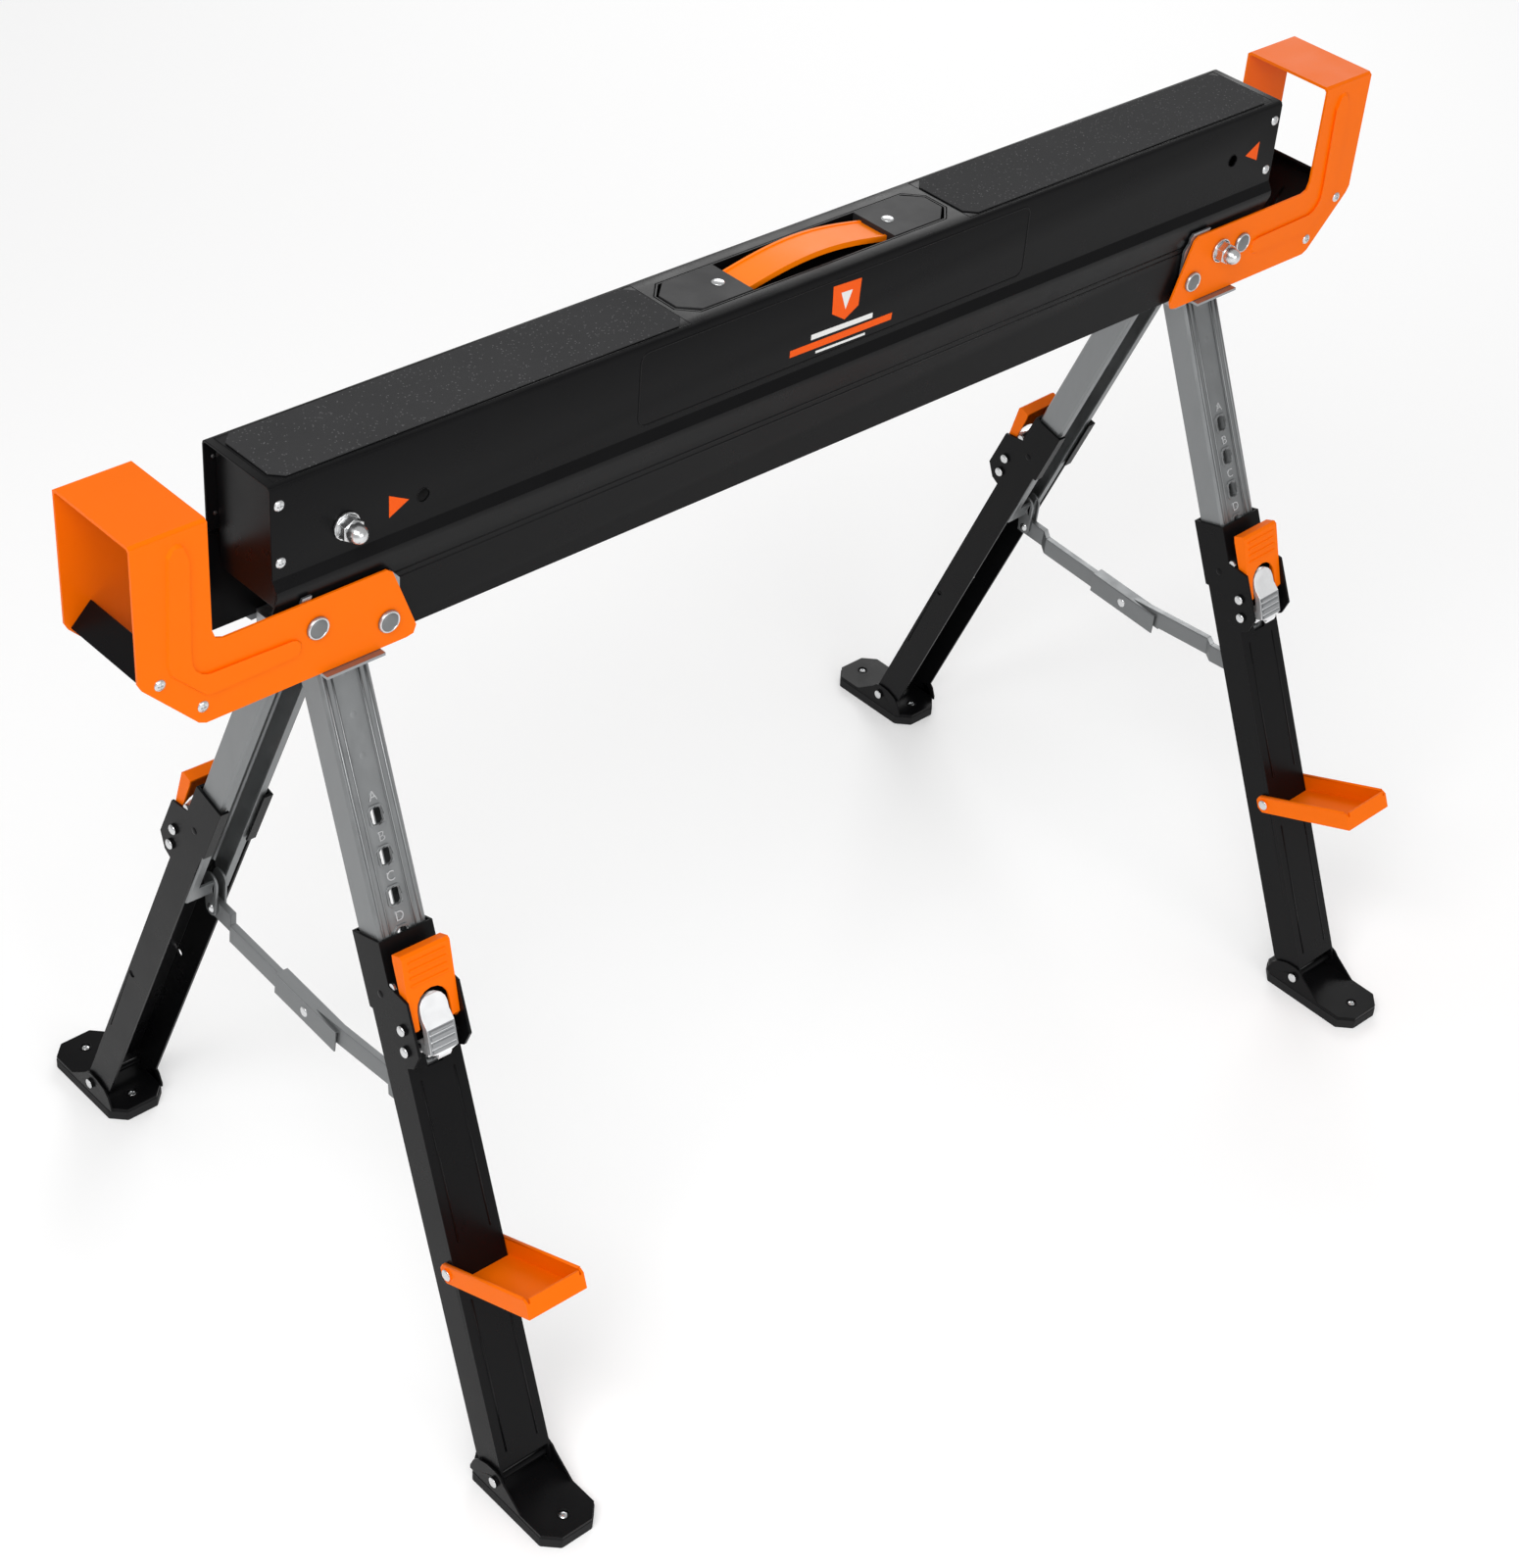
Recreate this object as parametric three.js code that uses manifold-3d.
// Folding sawhorse: a steel beam on two pairs of splayed, telescoping legs.
// Millimetres, +Z up. X runs along the beam, -Y is the front, the origin is on the floor
// under the middle of the beam.
import * as THREE from 'three';
import { mergeVertices } from 'three/addons/utils/BufferGeometryUtils.js';
import Module from 'manifold-3d';

const wasm = await Module();
wasm.setup();

// ---------------------------------------------------------------- driving dimensions
const GAP = 0.3;

const BEAM_LENGTH = 1048.6;
const BEAM_TOP = 813;
const BEAM_BOTTOM = 654.6;
const BEAM_HALF_WIDTH = 39.65;

const SPLAY = 22.58;             // lean of each leg to the front or back, degrees from upright
const END_LEAN = 2;              // lean of each leg pair towards its end of the beam
const LEG_PIN_X = 462.93;        // pin that a leg spreads on, from the middle of the beam
const LEG_PIN_Y = 17;
const LEG_PIN_Z = 645;
const PIN_TO_FACE = 17.2;        // leg pin to the outer face of the lower leg
const UPPER_HALF_WIDTH = 21.7;
const UPPER_OUTER = -2.8;        // outer and inner face of the upper leg, from the lower's face
const UPPER_INNER = -29.8;
const UPPER_END = 350;           // along the leg, down from the leg pin
const CLOSED_FROM = 332;         // its inner side is open above this, between two lips
const LIP = 9;
const LOWER_HALF_WIDTH = 24.6;
const LOWER_SHEET = 2.2;
const LOWER_TOP = 214;
const LOWER_END = 668;
const COLLAR_END = 276;
const COLLAR_INNER = -33.2;

const HOLE_FIRST = 127.5;        // height holes down the upper leg
const HOLE_PITCH = 31.5;
const HOLE_COUNT = 7;

const LEVER_PIVOT = [287, 6];    // [down the leg, out from its face]
const TONGUE_PIVOT = [305, 3.8];
const FOOT_PIVOT = [677.8, -7.8];
const ARM_PIVOT = [494, -6];
const BRACE_PIVOT = [362, -36];
const EYE_OFFSET = -7;           // brace pin joint, from the middle of the leg
const ELBOW_DROP = 351.5;        // brace elbow below the leg pins
const ARM_REACH = 101;

const YOKE_PIVOT_X = 430;        // pin that a leg pair swings on
const YOKE_PIVOT_Z = 653.4;

const BRACKET_INNER = 43.7;      // end bracket side plates, inner and outer face
const BRACKET_OUTER = 45.7;
const HANDLE_PLATE_IN = 74;      // ends of a handle plate, from the middle of the beam
const HANDLE_PLATE_OUT = 139.5;

// ---------------------------------------------------------------- materials
const BLACK = { color: 0x1c1c1e, roughness: 0.45, metalness: 0.3 };
const ORANGE = { color: 0xf26a12, roughness: 0.4, metalness: 0.2 };
const ZINC = { color: 0xb4b6b6, roughness: 0.4, metalness: 0.9 };
const RUBBER = { color: 0x151515, roughness: 0.9, metalness: 0 };
const GRIT = { color: 0x262626, roughness: 1, metalness: 0 };
const PLASTIC = { color: 0x222224, roughness: 0.6, metalness: 0 };
const STRAP = { color: 0xff8410, roughness: 0.5, metalness: 0 };

// ---------------------------------------------------------------- solids
const rad = THREE.MathUtils.degToRad;

function solid(geometry) {
  const bare = geometry.clone();
  bare.deleteAttribute('normal');
  bare.deleteAttribute('uv');
  const merged = mergeVertices(bare, 1e-4);
  return new wasm.Manifold(new wasm.Mesh({
    numProp: 3,
    vertProperties: new Float32Array(merged.attributes.position.array),
    triVerts: new Uint32Array(merged.index.array),
  }));
}

function geometryOf(body) {
  const mesh = body.getMesh();
  const geometry = new THREE.BufferGeometry();
  geometry.setAttribute('position', new THREE.BufferAttribute(mesh.vertProperties, 3));
  geometry.setIndex(new THREE.BufferAttribute(mesh.triVerts, 1));
  geometry.computeVertexNormals();
  return geometry;
}

function join(...bodies) {
  return bodies.reduce((sum, body) => sum.add(body));
}

// a closed outline, drawn in a plane and run straight through it from one level to another
function run(points, from, to) {
  const shape = new THREE.Shape(points.map(([a, b]) => new THREE.Vector2(a, b)));
  const geometry = new THREE.ExtrudeGeometry(shape, {
    depth: to - from, bevelEnabled: false, curveSegments: 1,
  });
  return geometry.translate(0, 0, from);
}

// outline in (x, y), run along z
const alongZ = (points, z0, z1) => solid(run(points, z0, z1));

// outline in (y, z), run along x
function alongX(points, x0, x1) {
  const turn = new THREE.Matrix4().makeBasis(
    new THREE.Vector3(0, 1, 0), new THREE.Vector3(0, 0, 1), new THREE.Vector3(1, 0, 0));
  return solid(run(points, x0, x1).applyMatrix4(turn));
}

// outline in (x, z), run along y
function alongY(points, y0, y1) {
  return solid(run(points, -y1, -y0).rotateX(Math.PI / 2));
}

// outline in leg terms, [down the leg, out from its face], run along x
const legX = (points, x0, x1) =>
  alongX(points.map(([down, out]) => [-(out + PIN_TO_FACE), -down]), x0, x1);

const both = (make, inner, outer) => join(make(inner, outer), make(-outer, -inner));

function circle(cx, cy, radius, sides = 16) {
  return Array.from({ length: sides }, (_, i) => {
    const turn = (2 * Math.PI * (i + 0.5)) / sides;
    return [cx + radius * Math.cos(turn), cy + radius * Math.sin(turn)];
  });
}

function rect(x0, y0, x1, y1) {
  return [[x0, y0], [x1, y0], [x1, y1], [x0, y1]];
}

// rectangle with cut corners
function octagon(x0, y0, x1, y1, cut) {
  return [
    [x0 + cut, y0], [x1 - cut, y0], [x1, y0 + cut], [x1, y1 - cut],
    [x1 - cut, y1], [x0 + cut, y1], [x0, y1 - cut], [x0, y0 + cut],
  ];
}

// outline of the space that two touching circles of a link sweep, from one to the other
function link(a, b, radiusA, radiusB, sides = 8) {
  const way = Math.atan2(b[1] - a[1], b[0] - a[0]);
  const end = (centre, radius, start) => Array.from({ length: sides + 1 }, (_, i) => {
    const turn = way + start + (Math.PI * i) / sides;
    return [centre[0] + radius * Math.cos(turn), centre[1] + radius * Math.sin(turn)];
  });
  return [...end(b, radiusB, -Math.PI / 2), ...end(a, radiusA, Math.PI / 2)];
}

const object = new THREE.Group();

function add(parent, name, body, look) {
  const mesh = new THREE.Mesh(geometryOf(body), new THREE.MeshStandardMaterial(look));
  mesh.name = name;
  parent.add(mesh);
  return mesh;
}

// ---------------------------------------------------------------- beam
const half = BEAM_LENGTH / 2;
const SIDES = [[-1, 'left'], [1, 'right']];

// half of the folded sheet's section, from the lower edge up to the middle of the top
const beamOuter = [
  [39, BEAM_BOTTOM], [39, 711.6], [44.6, 726], [44.6, 731], [BEAM_HALF_WIDTH, 738.6],
  [BEAM_HALF_WIDTH, 809.5], [38.6, 812], [36.4, BEAM_TOP],
];
const beamInner = [
  [37.4, BEAM_BOTTOM], [37.4, 712], [43, 726.3], [43, 730.5], [38.05, 738.1],
  [38.05, 809.3], [36.4, 811.4],
];

const LEFT_BOLT = [-462.5, 760.6];
const RIGHT_BOLT = [464, 692];
const END_BOLTS = [[492.5, 691], [431.5, 671.5]];
const FRONT_HOLES = [[-396, 760.4], [468, 773]];

function beamShell() {
  const mirror = (points) => [...points].reverse().map(([y, z]) => [-y, z]);
  const section = [...beamOuter, ...mirror(beamOuter), ...mirror(beamInner).reverse(),
    ...[...beamInner].reverse()];
  let shell = alongX(section, -half, half);
  const drill = (x, z, radius, y0, y1) => {
    shell = shell.subtract(alongY(circle(x, z, radius, 12), y0, y1));
  };
  for (const [side] of SIDES) {
    for (const [x, z] of END_BOLTS) drill(side * x, z, 4.4, -50, 50);
  }
  drill(...LEFT_BOLT, 4.4, -50, 50);
  drill(...RIGHT_BOLT, 4.4, -50, 50);
  for (const [side] of SIDES) drill(side * YOKE_PIVOT_X, YOKE_PIVOT_Z, 3.4, -50, 50);
  for (const [x, z] of FRONT_HOLES) drill(x, z, 5.5, -50, 50);
  return shell.subtract(alongZ(octagon(-143, -26, 143, 26, 14), 800, 820));
}

function endPlate(side) {
  const x = (depth) => side * (half - depth);
  const plan = [
    [x(9), -37 + GAP], [x(9), 37 - GAP], [x(26), 37 - GAP], [x(26), 35 - GAP],
    [x(11), 35 - GAP], [x(11), -35 + GAP], [x(26), -35 + GAP], [x(26), -37 + GAP],
  ];
  return alongZ(side > 0 ? plan : [...plan].reverse(), 706, 808.8);
}

function gripPad(side) {
  const [x0, x1] = [148, half - 9].map((x) => side * x).sort((a, b) => a - b);
  return alongZ(octagon(x0, -33.5, x1, 33.5, 9), BEAM_TOP + GAP, BEAM_TOP + GAP + 0.9);
}

function handleTray() {
  const dish = alongZ(octagon(-142.6, -25.6, 142.6, 25.6, 13.8), 786, BEAM_TOP);
  return dish.subtract(alongZ(octagon(-141, -24, 141, 24, 13.2), 787.6, BEAM_TOP + 2));
}

function handlePlate(side) {
  const near = side * HANDLE_PLATE_IN;
  const far = side * HANDLE_PLATE_OUT;
  const outline = [
    [near, -23.6], [far - side * 15, -23.6], [far, -10], [far, 10],
    [far - side * 15, 23.6], [near, 23.6],
  ];
  return alongZ(side > 0 ? outline : outline.reverse(), 788, BEAM_TOP + 0.6);
}

// the strap is a shallow arch with a raised edge along each side
function carryStrap() {
  const reach = HANDLE_PLATE_IN - GAP;
  const rise = (x) => 9.3 * Math.cos((Math.PI * x) / (2 * reach));
  const steps = Array.from({ length: 17 }, (_, i) => -reach + (2 * reach * i) / 16);
  const band = (low, high, y0, y1) => alongY([
    ...steps.map((x) => [x, low + rise(x)]),
    ...[...steps].reverse().map((x) => [x, high + rise(x)]),
  ], y0, y1);
  return join(band(805.6, 809.4, -15.5, 15.5), band(809, 810.4, -15.5, -13.3),
    band(809, 810.4, 13.3, 15.5));
}

// bolt along y: a shank and a low round head on each side of the bracket plates
function discBolt(x, z) {
  return join(alongY(circle(x, z, 4), -47, 47),
    alongY(circle(x, z, 9.2), -47.8, -BRACKET_OUTER - GAP),
    alongY(circle(x, z, 9.2), BRACKET_OUTER + GAP, 47.8));
}

// bolt along y: washer, hexagon and dome in front, hexagon head behind
function capBolt(x, z, face) {
  const front = -(face + GAP);
  const dome = solid(new THREE.LatheGeometry([
    [0, 0], [7.6, 0], [7.6, 4], [6.9, 7.4], [5, 10.2], [2.6, 11.6], [0, 12],
  ].map(([r, h]) => new THREE.Vector2(r, h)), 14).rotateX(Math.PI).translate(x, front - 9, z));
  return join(alongY(circle(x, z, 4), front - 1, face + 1),
    alongY(circle(x, z, 11), front - 2, front),
    alongY(circle(x, z, 9.6, 6), front - 9.5, front - 1.5), dome,
    alongY(circle(x, z, 9.6, 6), face + GAP, face + 7));
}

function buildBeam() {
  add(object, 'beam_shell', beamShell(), BLACK);
  add(object, 'handle_tray', handleTray(), PLASTIC);
  add(object, 'carry_strap', carryStrap(), STRAP);
  add(object, 'cap_bolt_left', capBolt(...LEFT_BOLT, BEAM_HALF_WIDTH), ZINC);
  add(object, 'cap_bolt_right', capBolt(...RIGHT_BOLT, BRACKET_OUTER), ZINC);
  for (const [side, end] of SIDES) {
    add(object, `end_plate_${end}`, endPlate(side), BLACK);
    add(object, `grip_pad_${end}`, gripPad(side), GRIT);
    add(object, `handle_plate_${end}`, handlePlate(side), PLASTIC);
    add(object, `outer_bolt_${end}`, discBolt(side * END_BOLTS[0][0], END_BOLTS[0][1]), ZINC);
    add(object, `inner_bolt_${end}`, discBolt(side * END_BOLTS[1][0], END_BOLTS[1][1]), ZINC);
  }
}

// ---------------------------------------------------------------- end brackets
const bracketOutline = [
  [578, 811], [578, 724], [575.5, 717], [569, 714.5], [432, 714.5], [427, 711],
  [406.5, 658], [409, 651.5], [415, 650.3], [586, 650.3], [592, 653], [635, 698],
  [638, 704], [638, 811],
];

function endBracket(side) {
  const outline = bracketOutline.map(([x, z]) => [side * x, z]);
  if (side > 0) outline.reverse();
  let plates = both((y0, y1) => alongY(outline, y0, y1), BRACKET_INNER, BRACKET_OUTER);
  const [x0, x1] = [578, 638].map((x) => side * x).sort((a, b) => a - b);
  const lid = alongX([[-BRACKET_OUTER, 808.5], [-BRACKET_INNER, 808.5], [-42, BEAM_TOP - 2.6],
    [42, BEAM_TOP - 2.6], [BRACKET_INNER, 808.5], [BRACKET_OUTER, 808.5],
    [BRACKET_OUTER, 810.5], [43, BEAM_TOP], [-43, BEAM_TOP], [-BRACKET_OUTER, 810.5]], x0, x1);
  plates = plates.add(lid);
  for (const [x, z] of END_BOLTS) {
    plates = plates.subtract(alongY(circle(side * x, z, 4.4, 12), -60, 60));
  }
  return side > 0 ? plates.subtract(alongY(circle(...RIGHT_BOLT, 4.4, 12), -60, 60)) : plates;
}

// channel that ties the two side plates along their sloping lower corner
function bracketChannel(side) {
  const inwards = [-Math.SQRT1_2, Math.SQRT1_2];
  const a = [591.5, 655];
  const b = [633.5, 699];
  const into = ([x, z], depth, slide = 0) =>
    [side * (x + inwards[0] * depth + slide * Math.SQRT1_2), z + inwards[1] * depth
      + slide * Math.SQRT1_2];
  const outline = [
    into(a, 0), into(b, 0), into(b, 24), into(b, 24, -2.2), into(b, 2.2, -2.2),
    into(a, 2.2, 2.2), into(a, 14, 2.2), into(a, 14),
  ];
  return alongY(side > 0 ? outline : outline.reverse(), -BRACKET_INNER + GAP,
    BRACKET_INNER - GAP);
}

const SADDLE_INNER = 40.4;
const SADDLE_OUTER = 42.9;

// side plate between beam and bracket, with a flange turned out under the bracket
function saddlePlate(side, back) {
  const outline = [
    [505, 702], [499, 710], [426, 710], [419, 702], [419, 652], [423, 648.3], [438, 648.3],
    [438, 647.4], [489, 647.4], [505, 664],
  ].map(([x, z]) => [side * x, z]);
  if (side < 0) outline.reverse();
  const span = (near, far) => (back > 0 ? [near, far] : [-far, -near]);
  let plate = alongY(outline, ...span(SADDLE_INNER, SADDLE_OUTER));
  const [x0, x1] = [438, 489].map((x) => side * x).sort((a, b) => a - b);
  plate = plate.add(alongY(rect(x0, 647.4, x1, 649.8), ...span(SADDLE_INNER, 51.5)));
  // tab that stands up behind the bracket's upper edge
  const [t0, t1] = side < 0 ? [-504, -496] : [424, 446];
  const tab = [[SADDLE_INNER, 706], [SADDLE_OUTER, 706], [43.3, 714], [45, 716.5], [45.4, 719],
    [43.6, 719], [41.2, 714.4]].map(([y, z]) => [back * y, z]);
  plate = plate.add(alongX(back > 0 ? tab : tab.reverse(), t0, t1));
  const drill = (x, z, radius) => {
    plate = plate.subtract(alongY(circle(x, z, radius, 12), -60, 60));
  };
  for (const [x, z] of END_BOLTS) drill(side * x, z, 4.4);
  drill(side * YOKE_PIVOT_X, YOKE_PIVOT_Z, 3.4);
  if (side > 0) drill(...RIGHT_BOLT, 4.4);
  return plate;
}

function buildBrackets() {
  for (const [side, end] of SIDES) {
    add(object, `end_bracket_${end}`, endBracket(side), ORANGE);
    add(object, `bracket_channel_${end}`, bracketChannel(side), BLACK);
    add(object, `saddle_plate_${end}_front`, saddlePlate(side, -1), ZINC);
    add(object, `saddle_plate_${end}_back`, saddlePlate(side, 1), ZINC);
    const pin = alongY(circle(side * YOKE_PIVOT_X, YOKE_PIVOT_Z, 3), -SADDLE_OUTER,
      SADDLE_OUTER);
    add(object, `yoke_pin_${end}`, pin, ZINC);
  }
}

// ---------------------------------------------------------------- yoke
// The end group stands at the leg pins, leaning towards its end of the beam.
function endGroup(side) {
  const group = new THREE.Group();
  group.position.set(side * LEG_PIN_X, 0, LEG_PIN_Z);
  group.rotation.y = -side * rad(END_LEAN);
  object.add(group);
  return group;
}

function yoke(side, group) {
  group.updateMatrixWorld(true);
  const pivot = group.worldToLocal(new THREE.Vector3(side * YOKE_PIVOT_X, 0, YOKE_PIVOT_Z));
  const wallOutline = [[-28, -11], [28, -11], [36.8, -3], [36.8, 11], [-36.8, 11], [-36.8, -3]];
  const walls = both((x0, x1) => alongX(wallOutline, x0, x1), 22.2, 24.4);
  const tip = pivot.x - side * 8;
  const cheekOutline = [
    [side * 24.4, -3], [side * 24.4, 13], [pivot.x, 15.4], [tip, 13], [tip, 3],
    [pivot.x, 1.6],
  ];
  if (side < 0) cheekOutline.reverse();
  let frame = join(walls, both((y0, y1) => alongY(cheekOutline, y0, y1), 34.8, 36.8));
  frame = frame.subtract(alongY(circle(pivot.x, pivot.z, 3.4, 12), -60, 60));
  for (const y of [-LEG_PIN_Y, LEG_PIN_Y]) {
    frame = join(frame, alongX(circle(y, 0, 4, 12), -23.5, 23.5),
      both((x0, x1) => alongX(circle(y, 0, 6.5, 12), x0, x1), 24, 26));
  }
  return frame;
}

// ---------------------------------------------------------------- upper leg
function upperLeg() {
  const outer = -(UPPER_OUTER + PIN_TO_FACE);
  const inner = -(UPPER_INNER + PIN_TO_FACE);
  const w = UPPER_HALF_WIDTH;
  const section = [
    [-w + 2, outer], [-12.5, outer], [-11, outer + 1.2], [11, outer + 1.2], [12.5, outer],
    [w - 2, outer], [w, outer + 2], [w, inner - 2], [w - 2, inner], [-w + 2, inner],
    [-w, inner - 2], [-w, outer + 2],
  ];
  let tube = alongZ(section, -UPPER_END, 20);
  const bore = octagon(-w + 2, outer + 3.2, w - 2, inner - 2, 1.5);
  tube = tube.subtract(alongZ(bore, -UPPER_END - 1, 21));
  const sideView = [
    [outer - 1, -UPPER_END + 14], [outer + 8, -UPPER_END], [inner + 1, -UPPER_END],
    [inner + 1, 0], [11.6, 5], [8.8, 9], [4.7, 11.7], [0, 12.6], [-6, 12], [-11, 8.5],
    [outer - 1, 3],
  ];
  tube = tube.intersect(alongX(sideView, -w - 1, w + 1));
  // the inner side is open between two lips, down to where the brace is held
  tube = tube.subtract(alongZ(rect(-w + LIP, inner - 3, w - LIP, inner + 1), -CLOSED_FROM, 21));
  for (let i = 0; i < HOLE_COUNT; i += 1) {
    const z = -(HOLE_FIRST + i * HOLE_PITCH);
    const ring = alongY(octagon(-7.2, z - 8.6, 7.2, z + 8.6, 3), outer + 0.2, outer + 2);
    const hole = alongY(octagon(-5, z - 6.4, 5, z + 6.4, 2), outer - 1, outer + 5);
    tube = tube.add(ring).subtract(hole);
  }
  // clevis for the brace, and a slot between its cheeks for the bar to turn in
  const [down, out] = BRACE_PIVOT;
  const clevis = link([down - 24, UPPER_INNER + 4], [down, out], 9, 7);
  for (const x of [EYE_OFFSET - 5.4, EYE_OFFSET + 3.4]) tube = tube.add(legX(clevis, x, x + 2));
  tube = tube.subtract(legX(rect(down - 52, UPPER_INNER - 2, UPPER_END + 2, UPPER_INNER + 4),
    EYE_OFFSET - 3.4, EYE_OFFSET + 3.4));
  tube = tube.subtract(legX(circle(down, out, 3.4, 12), EYE_OFFSET - 8, EYE_OFFSET + 8));
  return tube.subtract(alongX(circle(0, 0, 4.4, 12), -w - 2, w + 2));
}

// ---------------------------------------------------------------- lower leg
function lowerLeg() {
  const w = LOWER_HALF_WIDTH;
  const t = LOWER_SHEET;
  const [footDown, footOut] = FOOT_PIVOT;
  const web = legX(rect(LOWER_TOP + 4, -t, LOWER_END, 0), -w, w);
  const cheekOutline = [
    [LOWER_TOP, COLLAR_INNER], [COLLAR_END, COLLAR_INNER], [COLLAR_END + 1, UPPER_INNER],
    [LOWER_END - 6, UPPER_INNER], [LOWER_END, UPPER_INNER + 6], [footDown + 2, footOut - 9],
    [footDown + 8, footOut - 4], [footDown + 9, footOut], [footDown + 8, footOut + 4],
    [footDown + 2, footOut + 7], [LOWER_END, 0], [320, 0], [318.5, 8.5], [307, 19.5],
    [263.5, 19], [253, 0], [LOWER_TOP + 4, 0],
  ];
  const cheeks = both((x0, x1) => legX(cheekOutline, x0, x1), w - t, w);
  const lips = both((x0, x1) => legX(
    rect(LOWER_TOP, COLLAR_INNER, COLLAR_END, COLLAR_INNER + 2.2), x0, x1), 16, w);
  let leg = join(web, cheeks, lips);
  leg = leg.subtract(legX(rect(307, -t - 1, 326, 1), -7, 7));
  leg = leg.subtract(legX(circle(footDown, footOut, 4.2, 12), -w - 1, w + 1));
  leg = leg.subtract(legX(circle(...ARM_PIVOT, 3.6, 12), -w - 1, w + 1));
  for (const [down, out] of [LEVER_PIVOT, TONGUE_PIVOT]) {
    leg = leg.add(legX(circle(down, out, 2, 10), -w + 0.5, w - 0.5));
    leg = leg.add(both((x0, x1) => legX(circle(down, out, 4.7, 12), x0, x1), w - 0.5, w + 2));
  }
  return leg;
}

// ---------------------------------------------------------------- latch
// orange lever: a shallow tray turned to the leg, with two prongs and finger ribs
function latchLever() {
  const side = 22.1;
  const body = legX([
    [226.5, 10], [226.5, 19.6], [229, 21.4], [289, 13.8], [293, 9], [291.5, 3], [287, 1.2],
    [280, 3], [262, 8.5], [232, 9],
  ], -side, side);
  const hollow = legX([
    [228.3, 7], [228.3, 18.6], [230.5, 19.2], [296, 10.8], [296, -2], [228.3, -2],
  ], -side + 1.8, side - 1.8);
  let lever = body.subtract(hollow);
  const mouth = [...Array.from({ length: 9 }, (_, i) => {
    const turn = (Math.PI * i) / 8;
    return [14.8 * Math.cos(turn), -(274.5 - 14.8 * Math.sin(turn))];
  }), [-14.8, -300], [14.8, -300]];
  lever = lever.subtract(alongY(mouth, -PIN_TO_FACE - 30, -PIN_TO_FACE + 2));
  for (let i = 0; i < 4; i += 1) {
    const down = 234 + 6.2 * i;
    const out = 21.4 - (0.127 * (down - 229));
    lever = lever.add(legX([[down - 1.2, out - 1], [down - 0.6, out + 0.9],
      [down + 0.6, out + 0.9], [down + 1.2, out - 1]], -17, 17));
  }
  return lever.subtract(legX(circle(...LEVER_PIVOT, 2.4, 12), -side - 1, side + 1));
}

// zinc tongue: domed head in the lever's mouth, ribbed finger pad and a short tooth
function latchTongue() {
  const profile = legX([
    [264, 11.5], [266, 15], [282, 15.5], [290, 19], [314, 17], [317, 14.5], [315, 12],
    [311, 8], [309.2, 4.6], [314, 3.2], [318.5, 1.6], [318.5, -1.9], [313.8, -1.9], [312.8, 0.6],
    [305, 0.3], [301.6, 1.6], [301, 4.5], [303, 8.5], [303, 11.5], [290, 13], [282, 11.5],
  ], -12.6, 12.6);
  const front = [
    ...Array.from({ length: 9 }, (_, i) => {
      const turn = (Math.PI * i) / 8;
      return [12.6 * Math.cos(turn), -(276 - 11.5 * Math.sin(turn))];
    }), [-12.6, -288], [-12.6, -311], [-6, -313], [-6, -320], [6, -320], [6, -313],
    [12.6, -311], [12.6, -288],
  ];
  let tongue = profile.intersect(alongY(front, -PIN_TO_FACE - 30, -PIN_TO_FACE + 5));
  for (let i = 0; i < 3; i += 1) {
    const down = 295 + 6 * i;
    const out = 18.6 - 0.083 * (down - 295);
    tongue = tongue.add(legX([[down - 1.2, out - 1], [down, out + 0.8], [down + 1.2, out - 1]],
      -11, 11));
  }
  return tongue.subtract(legX(circle(...TONGUE_PIVOT, 2.4, 12), -14, 14));
}

// ---------------------------------------------------------------- support arm
// tray that a board rests on: open on top, hung on the leg's sides
function supportArm() {
  const [down, out] = ARM_PIVOT;
  const inner = LOWER_HALF_WIDTH + 0.8;
  const outer = inner + 2.2;
  const reach = out + ARM_REACH;
  const cheek = [
    [down - 8, out - 4], [down - 4, out - 8], [down + 4, out - 8], [down + 8.5, out - 4],
    [down + 8.5, reach], [down - 5, reach], [down - 8, reach - 3],
  ];
  const floor = rect(down + 6.5, 0.5, down + 8.5, reach);
  const lip = rect(down - 8, reach - 2.2, down + 8.5, reach);
  let arm = join(both((x0, x1) => legX(cheek, x0, x1), inner, outer),
    legX(floor, -outer, outer), legX(lip, -outer + 4, outer - 4),
    both((x0, x1) => legX(rect(down - 4, reach - 2.2, down + 8.5, reach), x0, x1),
      outer - 5, outer));
  arm = arm.add(both((x0, x1) => legX(circle(down, out, 3.2, 12), x0, x1), 22.1, inner + 0.5));
  return arm.add(both((x0, x1) => legX(circle(down, out, 5, 12), x0, x1), outer - 0.5,
    outer + 1.4));
}

// ---------------------------------------------------------------- foot
// origin on the ankle pin; the plate lies level at rest
const ANKLE_HEIGHT = 23.1;
const PLATE_TOP = 12.6 - ANKLE_HEIGHT;
const PLATE_MIDDLE = -15;
const FOOT_HALF_LENGTH = 54;

function footOutline(grow) {
  return octagon(-26.9 - grow, PLATE_MIDDLE - FOOT_HALF_LENGTH - grow, 26.9 + grow,
    PLATE_MIDDLE + FOOT_HALF_LENGTH + grow, 12);
}

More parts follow.
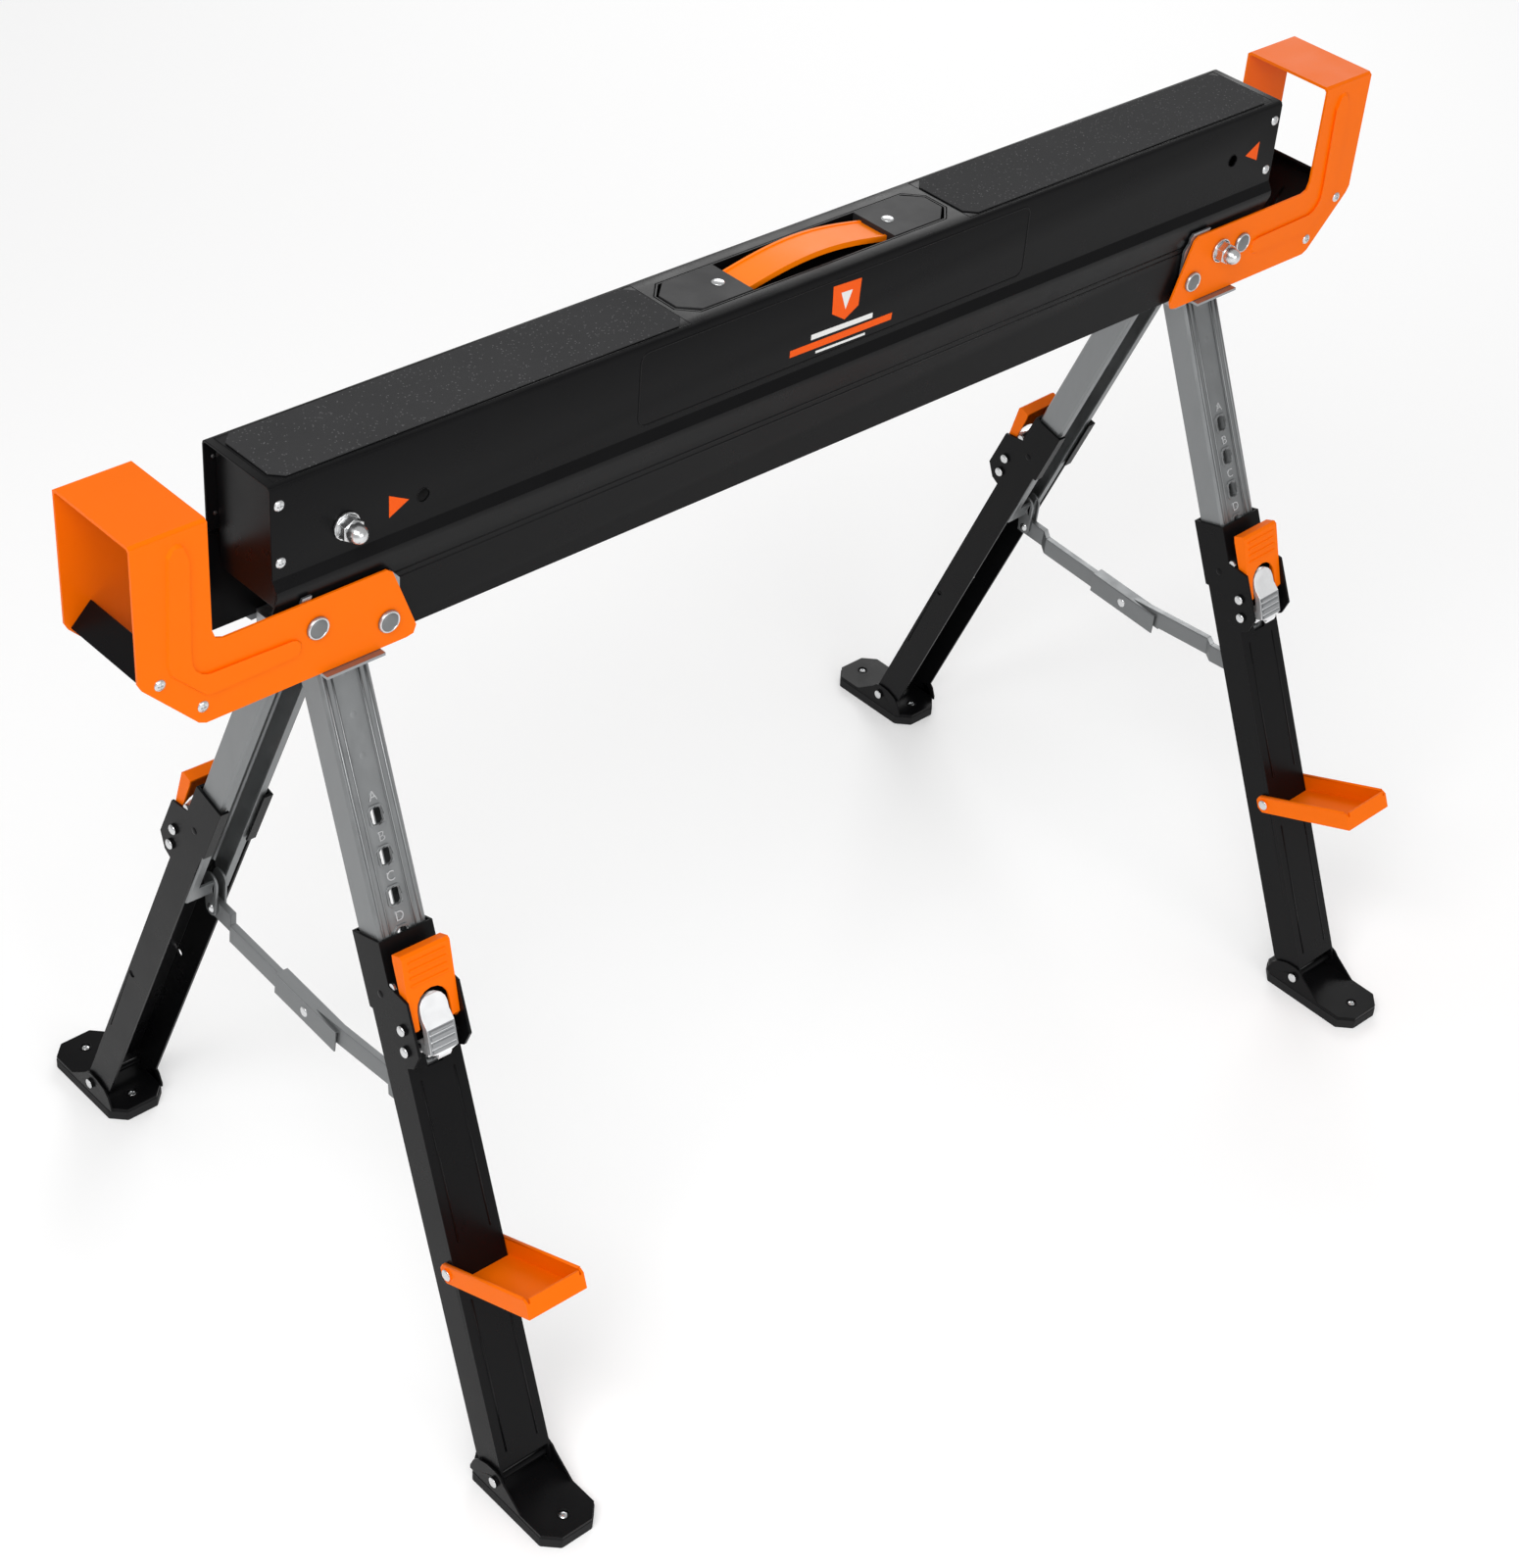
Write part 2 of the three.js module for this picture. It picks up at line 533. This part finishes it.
function footPlate() {
  const ear = [
    [-34, PLATE_TOP - 2], [31, PLATE_TOP - 2], [31, PLATE_TOP + 2], [27, 1], [21, 7],
    [10, 11], [0, 11.5], [-6, 9.2], [-10, 5],
  ];
  let plate = join(alongZ(footOutline(0), PLATE_TOP - 3, PLATE_TOP),
    both((x0, x1) => alongX(ear, x0, x1), 25.3, 26.9));
  for (const y of [-52, 23]) {
    plate = plate.subtract(alongZ(circle(0, y, 4.2, 12), -30, 0));
  }
  plate = plate.add(alongX(circle(0, 0, 3, 12), -26, 26));
  return plate.add(both((x0, x1) => alongX(circle(0, 0, 4.8, 12), x0, x1), 26.4, 29.2));
}

function footPad() {
  const bottom = -ANKLE_HEIGHT;
  return alongZ(footOutline(0.4), bottom, PLATE_TOP - 3 - GAP);
}

// ---------------------------------------------------------------- brace
const [braceDown, braceOut] = BRACE_PIVOT;
const BRACE_PIN_Y = LEG_PIN_Y + braceDown * Math.sin(rad(SPLAY))
  + (braceOut + PIN_TO_FACE) * Math.cos(rad(SPLAY));
const BRACE_PIN_Z = -braceDown * Math.cos(rad(SPLAY))
  + (braceOut + PIN_TO_FACE) * Math.sin(rad(SPLAY));
const BRACE_LENGTH = Math.hypot(BRACE_PIN_Y, BRACE_PIN_Z + ELBOW_DROP);
const BRACE_TILT = Math.atan2(-ELBOW_DROP - BRACE_PIN_Z, BRACE_PIN_Y);

// A half runs from its leg's clevis pin at the origin along +y to the elbow. Seen from above
// it bends from the clevis, off the leg's middle, to the middle at the elbow.
function braceHalf(end, halfWidth, halfHeight) {
  const eye = 3;
  const plan = alongZ([
    [EYE_OFFSET - eye, -9], [EYE_OFFSET + eye, -9], [EYE_OFFSET + eye, 38], [halfWidth, 60],
    [halfWidth, end], [-halfWidth, end], [-halfWidth, 60], [EYE_OFFSET - eye, 38],
  ], -12, 12);
  return plan.intersect(alongX(link([0, 0], [end - halfHeight, 0], 9, halfHeight), -20, 20));
}

function bracePin() {
  const pin = (radius, x0, x1) => alongX(circle(0, 0, radius, 12), EYE_OFFSET + x0,
    EYE_OFFSET + x1);
  return join(pin(3, -7, 7), pin(5, -7.2, -5.7), pin(5, 5.7, 7.2));
}

// channel, open below, that carries the elbow rivet inside the other half's wider channel
function braceBar() {
  const bar = braceHalf(BRACE_LENGTH - 13, 3, 9);
  const hollow = alongX(rect(62, -12, BRACE_LENGTH - 30, 7.4), -1.6, 1.6);
  return join(bar.subtract(hollow), bracePin());
}

function braceChannel() {
  const length = BRACE_LENGTH;
  const collar = alongX([[length - 38, -10.5], [length + 12, -10.5], [length + 17, -6],
    [length + 17, 6], [length + 12, 10.5], [length - 38, 10.5]], -6, 6);
  const body = join(braceHalf(length, 6, 9), collar);
  const hollow = join(alongX(rect(62, -12, 78, 7.4), -4.4, 4.4),
    alongX(rect(77, -12, length + 20, 12), -4.4, 4.4));
  return join(body.subtract(hollow), bracePin(),
    both((x0, x1) => alongX(circle(length, 0, 5.2, 12), x0, x1), 5.5, 7.4));
}

// ---------------------------------------------------------------- leg pairs
function legGroup(parent, back) {
  const group = new THREE.Group();
  group.position.set(0, back * LEG_PIN_Y, 0);
  group.rotation.set(-rad(SPLAY), 0, back > 0 ? Math.PI : 0, 'ZYX');
  parent.add(group);
  return group;
}

function foot(parent, name, legGroupOf, back) {
  legGroupOf.updateWorldMatrix(true, false);
  const [down, out] = FOOT_PIVOT;
  const ankle = legGroupOf.localToWorld(new THREE.Vector3(0, -(out + PIN_TO_FACE), -down));
  const group = new THREE.Group();
  group.position.copy(ankle);
  group.rotation.z = back > 0 ? Math.PI : 0;
  parent.add(group);
  add(group, `foot_plate_${name}`, footPlate(), BLACK);
  add(group, `foot_pad_${name}`, footPad(), RUBBER);
}

function brace(parent, name, back) {
  const group = new THREE.Group();
  group.position.set(0, back * BRACE_PIN_Y, BRACE_PIN_Z);
  group.rotation.set(BRACE_TILT, 0, back > 0 ? Math.PI : 0, 'ZYX');
  parent.add(group);
  add(group, `brace_${name}`, back > 0 ? braceChannel() : braceBar(), ZINC);
}

function buildLegs() {
  for (const [side, end] of SIDES) {
    const pair = endGroup(side);
    add(pair, `yoke_${end}`, yoke(side, pair), ZINC);
    for (const [back, where] of [[-1, 'front'], [1, 'back']]) {
      const name = `${end}_${where}`;
      const leg = legGroup(pair, back);
      add(leg, `upper_leg_${name}`, upperLeg(), ZINC);
      add(leg, `lower_leg_${name}`, lowerLeg(), BLACK);
      add(leg, `latch_lever_${name}`, latchLever(), ORANGE);
      add(leg, `latch_tongue_${name}`, latchTongue(), ZINC);
      if (back < 0) add(leg, `support_arm_${end}`, supportArm(), ORANGE);
      foot(object, name, leg, back);
      brace(pair, name, back);
    }
  }
}

buildBeam();
buildBrackets();
buildLegs();

export default object;
